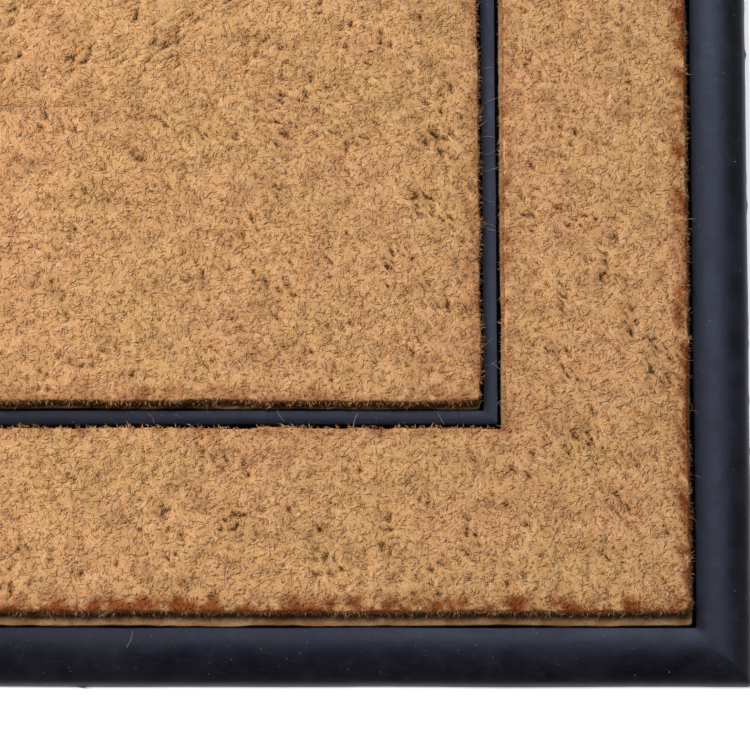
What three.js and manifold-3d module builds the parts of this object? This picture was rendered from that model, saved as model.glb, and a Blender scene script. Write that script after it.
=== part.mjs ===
// Rubber-framed coir door mat.
//
// One moulded rubber tray holds two coir inserts: a band that runs all the way round, and a centre
// panel. A thin rib of the same rubber parts them. Each insert is a coir pile on its own backing,
// bonded down on a coat of adhesive.
//
// Millimetres. The origin is the middle of the footprint, on the floor. +X runs along the mat's
// length, +Y towards its back edge and +Z up.

import * as THREE from 'three';
import { mergeVertices } from 'three/addons/utils/BufferGeometryUtils.js';
import Module from 'manifold-3d';

// The whole mat, over the rubber.
const MAT_LENGTH = 990;
const MAT_DEPTH = 610;
const MAT_CORNER_RADIUS = 2.5;

// Rubber tray: a border that falls away in a dome to a low upright lip, a web under the coir, and
// a rib between the two recesses.
const BORDER_WIDTH = 28;
const BORDER_HEIGHT = 10;
const LIP_HEIGHT = 1.8;
const DOME_STEPS = 8;
const SIDE_BAND_WIDTH = 98;
const END_BAND_WIDTH = 108;
const RIB_WIDTH = 7;
const RIB_HEIGHT = 9.6;
const RECESS_CORNER_RADIUS = 1.2;
const WEB_THICKNESS = 2.5;

// Underside: a foot ring round the edge and a grid of round anti-slip pips inside it.
const FOOT_HEIGHT = 1.2;
const FOOT_RING_WIDTH = 12;
const PIP_DIAMETER = 14;
const PIP_PITCH = 70;
const PIP_EDGE_GAP = 10;
const PIP_SIDES = 8;

// Coir inserts. The pile is set back from the edge of its backing, which shows as a flat selvedge.
const WALL_CLEARANCE = 1.8;
const BOND_GAP = 0.3;
const ADHESIVE_THICKNESS = 0.5;
const ADHESIVE_SETBACK = 4;
const BACKING_THICKNESS = 2.7;
const BACKING_CORNER_RADIUS = 1.5;
const PILE_HEIGHT = 8.2;
const PILE_EDGE_ROUND = 1.6;
const PILE_EDGE_STEPS = 3;
const PILE_CORNER_RADIUS = 4;
const BAND_SIDE_SELVEDGE = 2.7;
const BAND_END_SELVEDGE = 4.8;
const CENTRE_SIDE_SELVEDGE = 0.6;
const CENTRE_END_SELVEDGE = 1.5;

// Steps round each quarter turn of a corner, and the depth by which joined solids enter each other.
const CORNER_STEPS = 4;
const JOIN_DEPTH = 0.5;

// Heights above the floor.
const WEB_TOP = FOOT_HEIGHT + WEB_THICKNESS;
const ADHESIVE_BOTTOM = WEB_TOP + BOND_GAP;
const BACKING_BOTTOM = ADHESIVE_BOTTOM + ADHESIVE_THICKNESS + BOND_GAP;
const PILE_BOTTOM = BACKING_BOTTOM + BACKING_THICKNESS + BOND_GAP;

const COLOURS = {
  rubber: { color: 0x24262d, roughness: 0.55, metalness: 0 },
  adhesive: { color: 0x6f5230, roughness: 0.6, metalness: 0 },
  backing: { color: 0x8a5f3a, roughness: 0.95, metalness: 0 },
  pile: { color: 0xba8a5b, roughness: 1, metalness: 0 },
};

const manifold = await Module();
manifold.setup();

// Footprints: rectangles centred on the origin, from the outside in.

function shrink(rect, insetX, insetY = insetX) {
  return { x: rect.x - 2 * insetX, y: rect.y - 2 * insetY };
}

function rounded(rect, radius) {
  return { ...rect, radius };
}

const matOutline = rounded({ x: MAT_LENGTH, y: MAT_DEPTH }, MAT_CORNER_RADIUS);
const bandOuter = shrink(matOutline, BORDER_WIDTH);
const ribOuter = shrink(bandOuter, SIDE_BAND_WIDTH, END_BAND_WIDTH);
const centreOuter = shrink(ribOuter, RIB_WIDTH);

// Outlines and prisms.

function tracePath(path, { x, y, radius }) {
  const corners = [[1, 1], [-1, 1], [-1, -1], [1, -1]];
  corners.forEach(([sideX, sideY], turn) => {
    const start = (turn * Math.PI) / 2;
    const centreX = sideX * (x / 2 - radius);
    const centreY = sideY * (y / 2 - radius);
    path.absarc(centreX, centreY, radius, start, start + Math.PI / 2, false);
  });
  path.closePath();
  return path;
}

function roundedShape(rect, hole = null) {
  const shape = tracePath(new THREE.Shape(), rect);
  if (hole) shape.holes.push(tracePath(new THREE.Path(), hole));
  return shape;
}

function sharpShape({ x, y }) {
  const corners = [[x, y], [-x, y], [-x, -y], [x, -y]];
  return new THREE.Shape(corners.map(([cx, cy]) => new THREE.Vector2(cx / 2, cy / 2)));
}

function prism(shape, bottom, top) {
  const options = { depth: top - bottom, bevelEnabled: false, curveSegments: CORNER_STEPS };
  const geometry = new THREE.ExtrudeGeometry(shape, options);
  return geometry.translate(0, 0, bottom);
}

// A slab whose upper edges, outer and inner, fall away in a quarter ellipse to `shoulder`. The shape
// is its flat top, and each edge reaches `spread` beyond that. The same dome hangs below `bottom`,
// and is cut off there.
function domedSlab(shape, { bottom, shoulder, top, spread, steps }) {
  const options = {
    depth: shoulder - bottom,
    bevelThickness: top - shoulder,
    bevelSize: spread,
    bevelSegments: steps,
    curveSegments: CORNER_STEPS,
  };
  const geometry = new THREE.ExtrudeGeometry(shape, options);
  return geometry.translate(0, 0, bottom);
}

// Joining and cutting.

function solid(geometry) {
  geometry.deleteAttribute('normal');
  geometry.deleteAttribute('uv');
  const merged = mergeVertices(geometry);
  return new manifold.Manifold(new manifold.Mesh({
    numProp: 3,
    vertProperties: new Float32Array(merged.attributes.position.array),
    triVerts: new Uint32Array(merged.index.array),
  }));
}

function mesh(name, body, finish) {
  const { vertProperties, triVerts } = body.getMesh();
  const geometry = new THREE.BufferGeometry();
  geometry.setAttribute('position', new THREE.BufferAttribute(vertProperties, 3));
  geometry.setIndex(new THREE.BufferAttribute(triVerts, 1));
  geometry.computeVertexNormals();
  const result = new THREE.Mesh(geometry, new THREE.MeshStandardMaterial(finish));
  result.name = name;
  return result;
}

// Rubber tray.

function domedBlank() {
  const dome = domedSlab(sharpShape(bandOuter), {
    bottom: 0,
    shoulder: LIP_HEIGHT,
    top: BORDER_HEIGHT,
    spread: BORDER_WIDTH,
    steps: DOME_STEPS,
  });
  const trim = prism(roundedShape(matOutline), 0, BORDER_HEIGHT + JOIN_DEPTH);
  return solid(dome).intersect(solid(trim));
}

function recessCut() {
  const outline = rounded(bandOuter, RECESS_CORNER_RADIUS);
  return solid(prism(roundedShape(outline), WEB_TOP, BORDER_HEIGHT + JOIN_DEPTH));
}

function dividingRib() {
  const outer = rounded(ribOuter, RECESS_CORNER_RADIUS);
  const inner = rounded(centreOuter, RECESS_CORNER_RADIUS);
  return solid(prism(roundedShape(outer, inner), WEB_TOP - JOIN_DEPTH, RIB_HEIGHT));
}

function undersideCut() {
  const outline = rounded(shrink(matOutline, FOOT_RING_WIDTH), MAT_CORNER_RADIUS);
  return solid(prism(roundedShape(outline), -JOIN_DEPTH, FOOT_HEIGHT));
}

// Places along one side for pips a pitch apart, centred, that stay clear of the foot ring.
function pipPlaces(matSize) {
  const room = matSize - 2 * (FOOT_RING_WIDTH + PIP_EDGE_GAP) - PIP_DIAMETER;
  const count = Math.floor(room / PIP_PITCH) + 1;
  return Array.from({ length: count }, (_, i) => (i - (count - 1) / 2) * PIP_PITCH);
}

function pip(x, y) {
  const height = FOOT_HEIGHT + JOIN_DEPTH;
  const radius = PIP_DIAMETER / 2;
  const geometry = new THREE.CylinderGeometry(radius, radius, height, PIP_SIDES);
  return solid(geometry.rotateX(Math.PI / 2).translate(x, y, height / 2));
}

function rubberTray() {
  let tray = domedBlank().subtract(recessCut()).add(dividingRib()).subtract(undersideCut());
  for (const x of pipPlaces(MAT_LENGTH)) {
    for (const y of pipPlaces(MAT_DEPTH)) tray = tray.add(pip(x, y));
  }
  return mesh('rubber_tray', tray, COLOURS.rubber);
}

// Coir inserts. Each is given the recess it lies in, and the band also the rib it lies round.

function insertOutline(recess, setback, radius) {
  return rounded(shrink(recess, setback.x, setback.y), radius);
}

function insertShape(recess, rib, setback, radius) {
  const outer = insertOutline(recess, setback, radius);
  const hole = rib && insertOutline(rib, { x: -setback.x, y: -setback.y }, radius);
  return roundedShape(outer, hole);
}

function adhesiveCoat(name, recess, rib) {
  const setback = { x: WALL_CLEARANCE + ADHESIVE_SETBACK, y: WALL_CLEARANCE + ADHESIVE_SETBACK };
  const shape = insertShape(recess, rib, setback, BACKING_CORNER_RADIUS);
  const coat = prism(shape, ADHESIVE_BOTTOM, ADHESIVE_BOTTOM + ADHESIVE_THICKNESS);
  return mesh(name, solid(coat), COLOURS.adhesive);
}

function coirBacking(name, recess, rib) {
  const setback = { x: WALL_CLEARANCE, y: WALL_CLEARANCE };
  const shape = insertShape(recess, rib, setback, BACKING_CORNER_RADIUS);
  const slab = prism(shape, BACKING_BOTTOM, BACKING_BOTTOM + BACKING_THICKNESS);
  return mesh(name, solid(slab), COLOURS.backing);
}

function coirPile(name, recess, rib, selvedge) {
  const inset = WALL_CLEARANCE + PILE_EDGE_ROUND;
  const setback = { x: inset + selvedge.x, y: inset + selvedge.y };
  const flatTop = insertShape(recess, rib, setback, PILE_CORNER_RADIUS);
  const top = PILE_BOTTOM + PILE_HEIGHT;
  const block = domedSlab(flatTop, {
    bottom: PILE_BOTTOM,
    shoulder: top - PILE_EDGE_ROUND,
    top,
    spread: PILE_EDGE_ROUND,
    steps: PILE_EDGE_STEPS,
  });
  const trim = solid(prism(sharpShape(recess), PILE_BOTTOM, top + JOIN_DEPTH));
  return mesh(name, solid(block).intersect(trim), COLOURS.pile);
}

const bandSelvedge = { x: BAND_SIDE_SELVEDGE, y: BAND_END_SELVEDGE };
const centreSelvedge = { x: CENTRE_SIDE_SELVEDGE, y: CENTRE_END_SELVEDGE };

const doorMat = new THREE.Group();
doorMat.add(rubberTray());
doorMat.add(adhesiveCoat('border_adhesive', bandOuter, ribOuter));
doorMat.add(adhesiveCoat('centre_adhesive', centreOuter, null));
doorMat.add(coirBacking('border_coir_backing', bandOuter, ribOuter));
doorMat.add(coirBacking('centre_coir_backing', centreOuter, null));
doorMat.add(coirPile('border_coir_pile', bandOuter, ribOuter, bandSelvedge));
doorMat.add(coirPile('centre_coir_pile', centreOuter, null, centreSelvedge));

export default doorMat;
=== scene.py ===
"""Coir door mat in a moulded rubber tray: the looks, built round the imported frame.

Every size that the frame states is read from it. The rest are the settings below, in metres.
"""

import math
import random

import bpy
import numpy as np
from mathutils import Matrix, Vector, noise


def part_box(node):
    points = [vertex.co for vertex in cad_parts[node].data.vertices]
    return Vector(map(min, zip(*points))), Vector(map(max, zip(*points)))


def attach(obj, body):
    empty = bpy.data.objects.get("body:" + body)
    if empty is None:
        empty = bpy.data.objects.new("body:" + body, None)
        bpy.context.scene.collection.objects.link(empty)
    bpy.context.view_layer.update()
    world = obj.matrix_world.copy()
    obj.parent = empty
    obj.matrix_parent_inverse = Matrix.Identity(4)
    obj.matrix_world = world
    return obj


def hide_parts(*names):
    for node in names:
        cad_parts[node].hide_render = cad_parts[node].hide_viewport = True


bl_info = {
    "name": "Coir Door Mat",
    "version": (1, 0, 0),
    "blender": (4, 5, 0),
    "location": "3D View > Sidebar > Door Mat",
    "description": "Builds a rubber-framed coir door mat, piece by piece",
    "category": "Add Mesh",
}

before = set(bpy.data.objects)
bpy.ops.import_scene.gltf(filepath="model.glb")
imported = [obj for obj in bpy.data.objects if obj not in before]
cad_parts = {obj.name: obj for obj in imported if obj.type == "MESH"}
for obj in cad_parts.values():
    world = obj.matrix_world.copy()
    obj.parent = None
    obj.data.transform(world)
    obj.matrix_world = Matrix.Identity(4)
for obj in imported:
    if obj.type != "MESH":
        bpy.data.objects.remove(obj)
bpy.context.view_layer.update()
BODY = "root"
MM = 0.001


# Settings


def length(name, description, millimetres):
    return bpy.props.FloatProperty(
        name=name, description=description, default=millimetres * MM, unit="LENGTH", precision=4
    )


def number(name, description, value):
    return bpy.props.FloatProperty(name=name, description=description, default=value)


def angle(name, description, degrees):
    return bpy.props.FloatProperty(
        name=name, description=description, default=math.radians(degrees), subtype="ANGLE"
    )


def colour(name, description, value):
    return bpy.props.FloatVectorProperty(
        name=name, description=description, default=value, size=3, min=0, max=1, subtype="COLOR"
    )


class RubberSettings(bpy.types.PropertyGroup):
    """The rubber moulding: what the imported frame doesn't state of its section, and its colours."""

    wall_clearance: length("Wall Clearance", "From the coir's backing to the rubber wall", 1.8)
    lip_height: length("Lip Height", "Upright outer edge below the domed slope", 1.8)
    edge_radius: length("Edge Radius", "Rounding of the upper edges", 0.22)
    crest: length("Crest", "From the recess to the highest line of the border", 8)
    crest_drop: length("Crest Drop", "How far the border falls from its crest to the recess", 0.65)
    mitre_blend: length("Mitre Blend", "Softening of the mitre near the crest, in plan", 7)
    rib_width: length("Rib Width", "Dividing rib, side to side", 7)
    rib_drop: length("Rib Drop", "How far the rib's top lies under the border's", 0.4)
    corner_radius: length("Corner Radius", "Outer corners, in plan", 2.5)
    recess_corner: length("Recess Corner", "Corners of the recesses and the rib, in plan", 1.2)
    web_top: length("Web Top", "Height of the recess floor", 3.7)
    foot_height: length("Foot Height", "Foot ring and pips below the web", 1.2)
    foot_ring: length("Foot Ring", "Width of the foot ring", 12)
    pip_diameter: length("Pip Diameter", "Anti-slip pips", 14)
    pip_pitch: length("Pip Pitch", "From one pip to the next", 70)
    pip_edge_gap: length("Pip Edge Gap", "From the foot ring to the nearest pip", 10)
    waviness: length("Waviness", "How far the flexible moulding strays from true", 0.35)
    flash: length("Flash", "Height of the nubs left on the lip by the mould", 0.9)
    tone: colour("Rubber", "The rubber itself", (0.0030, 0.0032, 0.0050))
    bloom: colour("Bloom", "Dusty bloom and scuffs on the rubber", (0.026, 0.027, 0.034))
    dust: colour("Dust", "Pale specks of dust", (0.30, 0.27, 0.24))


class CoirSettings(bpy.types.PropertyGroup):
    """The coir inserts: their relief, fibres and colours."""

    edge_round: length("Edge Round", "Rounding of the pile's upper edges", 1.2)
    undercut: length("Undercut", "How far the pile draws in at its foot", 0.6)
    corner_radius: length("Corner Radius", "Corners of the pile, in plan", 3)
    backing_corner: length("Backing Corner", "Corners of the backing, in plan", 1.5)
    body_drop: length("Body Drop", "The packed pile under the loose fibre ends", 0.9)
    side_inset: length("Side Inset", "Outer band, packed pile inside the frame's solid, at the sides", -1.6)
    end_inset: length("End Inset", "The same at the front and back", 0.5)
    centre_side_inset: length("Centre Side Inset", "The same for the centre panel's sides", -0.8)
    centre_end_inset: length("Centre End Inset", "The same for its front and back", 0.1)
    rib_selvedge: length("Rib Selvedge", "Selvedge that shows beside the rib", 2.4)
    lumps: length("Lumps", "Relief of the packed pile", 0.5)
    unevenness: length("Unevenness", "How far the cut edges stray from straight", 0.85)
    pit_depth: length("Pit Depth", "Where the pile parts into a small pit", 1.7)
    fibre_length: length("Fibre Length", "A fibre end that shows on top", 4.6)
    fibre_width: length("Fibre Width", "Across the thick of a fibre", 0.46)
    fibre_density: number("Fibre Density", "Fibre ends on a square metre, in each piece", 128000)
    combing: number("Combing", "How strongly the fibres lean out near an edge", 0.30)
    # The painted shade in the pile's dips and down its walls runs down to this colour as well.
    dark: colour("Dark", "Dark fibres and the depths of the pile", (0.20, 0.065, 0.012))
    brown: colour("Brown", "Reddish-brown fibres", (0.45, 0.225, 0.085))
    tan: colour("Tan", "Most fibres", (0.555, 0.315, 0.130))
    straw: colour("Straw", "Pale fibres", (0.63, 0.435, 0.270))
    # Painted shade: the dark reddish colour multiplied into the coir along the piles' edges.
    edge_shade: colour("Rust", "Multiplies the coir near an edge, in patches", (0.42, 0.20, 0.12))
    # Painted shade: the near-black painted into the pits and the deepest dips of the pile.
    pit: colour("Pit", "The bottom of a pit in the pile", (0.040, 0.020, 0.006))
    backing: colour("Backing", "Compressed selvedge of the backing", (0.20, 0.105, 0.040))
    adhesive: colour("Adhesive", "Latex adhesive", (0.16, 0.085, 0.03))
    shed: colour("Shed", "Shed fibres and crumbs, bleached and dusty", (0.42, 0.33, 0.29))


class StageSettings(bpy.types.PropertyGroup):
    """Camera, lights and floor."""

    tilt: angle("Tilt", "Camera off the vertical, towards the front", 20)
    lean: angle("Lean", "Camera off the vertical, towards the left", 1.4)
    roll: angle("Roll", "Turn of the picture", 0.05)
    lens: number("Lens", "Focal length in millimetres", 1500)
    view_width: length("View Width", "Width of the mat that the picture takes in", 375)
    from_side: length("From Side", "Middle of the picture from the mat's right edge", 186.9)
    from_front: length("From Front", "Middle of the picture from the mat's front edge", 165.4)
    floor: colour("Floor", "The plain floor", (0.86, 0.86, 0.86))


# Outlines and lofts. An outline is (half length, half depth, corner radius), centred on the origin.

STEPS_ROUND_CORNER = 5


def outline_of(node, radius):
    low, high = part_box(node)
    return ((high.x - low.x) / 2, (high.y - low.y) / 2, radius)


def inset(outline, distance, radius=None):
    """The outline moved in all round by a distance, or out if it is negative."""
    return (outline[0] - distance, outline[1] - distance, radius or outline[2])


def drawn_in(outline, sides, ends):
    """The outline moved in by one distance at its sides and another at its front and back."""
    return (outline[0] - sides, outline[1] - ends, outline[2])


def between(first, second, share):
    return tuple(a + (b - a) * share for a, b in zip(first, second))


def ring(outline, height, spacing_of):
    """Points round an outline at one height, counter-clockwise from above. The outline spacing_of
    sets how many there are, so that rings of one loft match."""
    half_x, half_y, radius = outline
    across, along = spacing_of
    points = []
    for turn, (side_x, side_y) in enumerate(((1, 1), (-1, 1), (-1, -1), (1, -1))):
        centre = (side_x * (half_x - radius), side_y * (half_y - radius))
        for step in range(STEPS_ROUND_CORNER + 1):
            at = math.pi / 2 * (turn + step / STEPS_ROUND_CORNER)
            points.append((centre[0] + radius * math.cos(at), centre[1] + radius * math.sin(at)))
        straight = (across, along)[turn % 2]
        reach = 2 * ((half_x, half_y)[turn % 2] - radius)
        direction = ((-1, 0), (0, -1), (1, 0), (0, 1))[turn]
        start = points[-1]
        for step in range(1, straight):
            run = reach * step / straight
            points.append((start[0] + direction[0] * run, start[1] + direction[1] * run))
    points = np.array(points)
    return np.column_stack([points, np.full(len(points), height)])


def loft(name, rings, closed, material, smooth_to=40):
    """A mesh object through the rings. Closed joins the last to the first; otherwise both are capped.
    The rings run up the outside and inwards over the top, so that the faces point out."""
    count = len(rings[0])
    following = np.roll(np.arange(count), -1)
    pairs = list(zip(range(len(rings) - 1), range(1, len(rings))))
    if closed:
        pairs.append((len(rings) - 1, 0))
    faces = []
    for first, second in pairs:
        low, high = np.arange(count) + first * count, np.arange(count) + second * count
        faces += np.column_stack([low, low[following], high[following], high]).tolist()
    if not closed:
        faces.append(list(range(count))[::-1])
        faces.append(list(range((len(rings) - 1) * count, len(rings) * count)))
    mesh = bpy.data.meshes.new(name)
    mesh.from_pydata(np.concatenate(rings).tolist(), [], faces)
    mesh.polygons.foreach_set("use_smooth", [True] * len(mesh.polygons))
    mesh.set_sharp_from_angle(angle=math.radians(smooth_to))
    mesh.materials.append(material)
    return add_object(name, mesh)


def add_object(name, mesh):
    piece = bpy.data.objects.new(name, mesh)
    bpy.context.scene.collection.objects.link(piece)
    return piece


def rough(point, size, seed=0.0):
    """Smooth noise from -1 to 1 with features of about that size."""
    return noise.noise(Vector((point[0] / size + seed, point[1] / size - seed, point[2] / size)))


def strayed(rings, amount, size, seed):
    """The rings with every point moved a little, in plan and in height, by smooth noise."""
    moved = []
    for points in rings:
        offsets = [[rough(p, size, seed + k * 7.3) for k in range(3)] for p in points]
        moved.append(points + np.array(offsets) * amount)
    return moved


# Node trees


def enabled(sockets, key):
    """A socket by name, or by its place among those in use."""
    usable = [s for s in sockets if s.enabled]
    return usable[key] if isinstance(key, int) else next(s for s in usable if s.name == key)


def fill(tree, node, inputs):
    """Fills a node's inputs with links or values."""
    for key, value in inputs.items():
        socket = enabled(node.inputs, key)
        if isinstance(value, bpy.types.NodeSocket):
            tree.links.new(value, socket)
        else:
            socket.default_value = value


def add(tree, kind, inputs=(), output=0, **settings):
    """Adds a node, fills its inputs, and returns one of its outputs."""
    node = tree.nodes.new(kind)
    for name, value in settings.items():
        setattr(node, name, value)
    fill(tree, node, dict(inputs))
    return enabled(node.outputs, output) if len(node.outputs) else node


def sums(tree, operation, *values, clamp=False):
    inputs = dict(enumerate(values))
    return add(tree, "ShaderNodeMath", inputs, operation=operation, use_clamp=clamp)


def vectors(tree, operation, *values):
    return add(tree, "ShaderNodeVectorMath", dict(enumerate(values)), operation=operation)


def mixed(tree, share, first, second, blend="MIX"):
    """A colour mix."""
    inputs = {"Factor": share, "A": opaque(first), "B": opaque(second)}
    return add(tree, "ShaderNodeMix", inputs, "Result", data_type="RGBA", blend_type=blend)


def opaque(value):
    return value if isinstance(value, bpy.types.NodeSocket) else (*value, 1)


def ranged(tree, value, from_low, from_high, to_low=0.0, to_high=1.0):
    inputs = {0: value, 1: from_low, 2: from_high, 3: to_low, 4: to_high}
    return add(tree, "ShaderNodeMapRange", inputs)


def wired(tree, inputs):
    """Declares a geometry tree's inputs and returns their sockets by name. The first is Geometry."""
    tree.interface.new_socket("Geometry", in_out="INPUT", socket_type="NodeSocketGeometry")
    for name, (kind, value) in inputs.items():
        item = tree.interface.new_socket(name, in_out="INPUT", socket_type="NodeSocket" + kind)
        if value is not None:
            item.default_value = value
    tree.interface.new_socket("Geometry", in_out="OUTPUT", socket_type="NodeSocketGeometry")
    group = tree.nodes.new("NodeGroupInput")
    return {s.name: s for s in group.outputs if s.name}


def finished(tree, geometry, material):
    """Ends a geometry tree: instances made real, a material, the output."""
    real = add(tree, "GeometryNodeRealizeInstances", {"Geometry": geometry})
    worn = add(tree, "GeometryNodeSetMaterial", {"Geometry": real, "Material": material})
    add(tree, "NodeGroupOutput", {"Geometry": worn})


def grown(name, carrier, tree, values):
    """Runs a geometry tree on a carrier mesh and returns the result as a plain mesh object."""
    host = add_object(name + "_host", carrier)
    modifier = host.modifiers.new("Grow", "NODES")
    modifier.node_group = tree
    for item in tree.interface.items_tree:
        if item.in_out == "INPUT" and item.name in values:
            modifier[item.identifier] = values[item.name]
    depsgraph = bpy.context.evaluated_depsgraph_get()
    mesh = bpy.data.meshes.new_from_object(
        host.evaluated_get(depsgraph), preserve_all_data_layers=True, depsgraph=depsgraph
    )
    host.modifiers.clear()
    bpy.data.objects.remove(host)
    if not mesh.polygons:
        raise RuntimeError(f"{name}: its nodes made nothing")
    mesh.name = name
    return add_object(name, mesh)


# Materials


def new_material(name):
    """A node material: its tree, its Principled shader and the object's own coordinates."""
    material = bpy.data.materials.new(name)
    material.use_nodes = True
    tree = material.node_tree
    shader = tree.nodes["Principled BSDF"]
    return material, tree, shader, add(tree, "ShaderNodeTexCoord", output="Object")


def cloud(tree, where, size, detail=3.0, contrast=(0.3, 0.7), distortion=0.0):
    """Noise from 0 to 1 with patches of about that size, in metres."""
    inputs = {"Vector": where, "Scale": 1 / size, "Detail": detail, "Distortion": distortion}
    return ranged(tree, add(tree, "ShaderNodeTexNoise", inputs, "Fac"), *contrast)


def stored(tree, name):
    """A number that the mesh carries, for a shader."""
    return add(tree, "ShaderNodeAttribute", output="Fac", attribute_name=name)


def bumped(tree, strength, distance, height):
    inputs = {"Strength": strength, "Distance": distance, "Height": height}
    return add(tree, "ShaderNodeBump", inputs)


def rubber_material(rubber):
    """Satin black rubber with a faint moulded grain, a dusty bloom, scuffs, specks of dust, and painted shade
    that turns it black down in the recesses.
    """
    material, tree, shader, where = new_material("tray_rubber")
    patches = cloud(tree, where, 0.035, 5, (0.40, 0.72), 0.8)
    streaks = vectors(tree, "MULTIPLY", where, (1.0, 5.0, 5.0))
    scuffs = cloud(tree, streaks, 0.010, 5, (0.56, 0.76), 2.0)
    smudges = cloud(tree, where, 0.006, 4, (0.52, 0.74), 1.0)
    rubbed = sums(tree, "MULTIPLY_ADD", scuffs, 0.24, sums(tree, "MULTIPLY", smudges, 0.16))
    bloom = sums(tree, "MULTIPLY_ADD", patches, 0.26, rubbed)
    specks = add(tree, "ShaderNodeTexVoronoi", {"Vector": where, "Scale": 420}, "Distance")
    chosen = cloud(tree, where, 0.004, 0, (0.62, 0.68))
    dust = sums(tree, "MULTIPLY", ranged(tree, specks, 0.10, 0.05), chosen, clamp=True)
    toned = mixed(tree, bloom, rubber.tone, rubber.bloom)
    toned = mixed(tree, dust, toned, rubber.dust)
    # Painted shade: the rubber's colour goes to black down in the recesses, and its roughness rises there.
    recess_shade = stored(tree, "recess_shade")
    toned = mixed(tree, recess_shade, toned, (0.0, 0.0, 0.0))
    sheen = sums(tree, "MAXIMUM", sums(tree, "MULTIPLY_ADD", bloom, 0.40, 0.33), recess_shade)
    grain = add(tree, "ShaderNodeTexNoise", {"Vector": where, "Scale": 2600, "Detail": 2})
    ripple = add(tree, "ShaderNodeTexNoise", {"Vector": where, "Scale": 120, "Detail": 2})
    relief = sums(tree, "MULTIPLY_ADD", ripple, 3.0, sums(tree, "ADD", grain, dust))
    fill(tree, shader, {
        "Base Color": toned,
        "Roughness": sheen,
        "Specular IOR Level": 0.40,
        "Specular Tint": (0.83, 0.82, 1.0, 1),
        "Normal": bumped(tree, 0.35, 0.00012, relief),
    })
    return material


def coir_tone(tree, coir, where, shade):
    """Coir's colour: the fibre's own shade, over wide patches that lean to yellow or to pink, with painted
    shade, dark and reddish, along the piles' edges.
    """
    low = mixed(tree, ranged(tree, shade, 0.0, 0.05), coir.dark, coir.brown)
    middle = mixed(tree, ranged(tree, shade, 0.05, 0.36), low, coir.tan)
    full = mixed(tree, ranged(tree, shade, 0.60, 1.0), middle, coir.straw)
    leaning = cloud(tree, where, 0.045, 3, (0.35, 0.65))
    tint = mixed(tree, leaning, (0.99, 0.99, 0.96), (1.02, 0.96, 1.02))
    worn = mixed(tree, cloud(tree, where, 0.013, 3, (0.30, 0.55)), (0.80, 0.76, 0.74), (1.0, 1.0, 1.0))
    # Painted shade: the coir turns darker and redder along the piles' edges, in clusters.
    edge_shade = stored(tree, "edge_shade")
    full = mixed(tree, 1.0, full, mixed(tree, edge_shade, (1.0, 1.0, 1.0), coir.edge_shade), "MULTIPLY")
    return mixed(tree, 1.0, mixed(tree, 1.0, full, tint, "MULTIPLY"), worn, "MULTIPLY")


def fibre_material(coir):
    """Loose coir fibres. Each carries its own shade as an attribute."""
    material, tree, shader, where = new_material("coir_fibre")
    shade = stored(tree, "shade")
    felted = sums(tree, "MULTIPLY", cloud(tree, where, 0.011, 2, (0.42, 0.60)), 0.72)
    inputs = {"Factor": felted, "A": shade, "B": 0.62}
    shade = add(tree, "ShaderNodeMix", inputs, "Result", data_type="FLOAT")
    toned = coir_tone(tree, coir, where, shade)
    fill(tree, shader, {"Base Color": toned, "Roughness": 0.62, "Specular IOR Level": 0.35})
    return material


def shed_material(coir):
    """Shed fibres and crumbs, all one colour."""
    material, tree, shader, _ = new_material("shed_fibre")
    fill(tree, shader, {"Base Color": (*coir.shed, 1), "Roughness": 0.6})
    return material


def strokes(tree, where, cell, width, reach):
    """Short parallel strokes that change direction from one cell to the next, as 0 to 1."""
    inputs = {"Vector": where, "Scale": 1 / cell, "Randomness": 1.0}
    cells = add(tree, "ShaderNodeTexVoronoi", inputs, "Color").node
    turn = sums(tree, "MULTIPLY", add(tree, "ShaderNodeSeparateXYZ", {0: cells.outputs["Color"]}), math.tau)
    turned = add(tree, "ShaderNodeVectorRotate", {"Vector": where, "Angle": turn}, rotation_type="Z_AXIS")
    drawn = vectors(tree, "MULTIPLY", turned, (1.0, width / reach, 1.0))
    inputs = {"Vector": drawn, "Scale": 1 / width, "Detail": 1.5, "Distortion": 0.6}
    return add(tree, "ShaderNodeTexNoise", inputs, "Fac")


def pile_material(coir):
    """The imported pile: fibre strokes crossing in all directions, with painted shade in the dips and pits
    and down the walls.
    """
    material, tree, shader, where = new_material("coir_pile")
    fine = strokes(tree, where, 0.0032, 0.00042, 0.0034)
    coarse = strokes(tree, vectors(tree, "ADD", where, (0.31, 0.17, 0.0)), 0.0055, 0.0007, 0.006)
    both = sums(tree, "MAXIMUM", fine, coarse)
    # Painted shade: the stored number darkens the coir in the dips and pits and down the walls, to near-black
    # in the pits.
    hollow_shade = stored(tree, "hollow_shade")
    shade = sums(tree, "SUBTRACT", ranged(tree, both, 0.40, 0.72), sums(tree, "MULTIPLY", hollow_shade, 0.50))
    toned = mixed(tree, ranged(tree, hollow_shade, 0.45, 1.0), coir_tone(tree, coir, where, shade), coir.pit)
    relief = bumped(tree, 0.9, 0.0007, both)
    surface = {"Base Color": toned, "Roughness": 0.9, "Specular IOR Level": 0.15, "Normal": relief}
    fill(tree, shader, surface)
    return material


def backing_material(coir):
    """Compressed selvedge: from olive-brown to a paler tan, with fibres pressed into it."""
    material, tree, shader, where = new_material("coir_backing")
    pressed = strokes(tree, where, 0.006, 0.0005, 0.004)
    patches = cloud(tree, where, 0.016, 5, (0.34, 0.70))
    pale = mixed(tree, sums(tree, "MULTIPLY", patches, 0.48), coir.backing, coir.straw)
    toned = mixed(tree, ranged(tree, pressed, 0.56, 0.36, 0.0, 0.55), pale, coir.dark)
    relief = bumped(tree, 0.6, 0.0004, pressed)
    surface = {"Base Color": toned, "Roughness": 0.7, "Specular IOR Level": 0.25, "Normal": relief}
    fill(tree, shader, surface)
    return material


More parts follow.
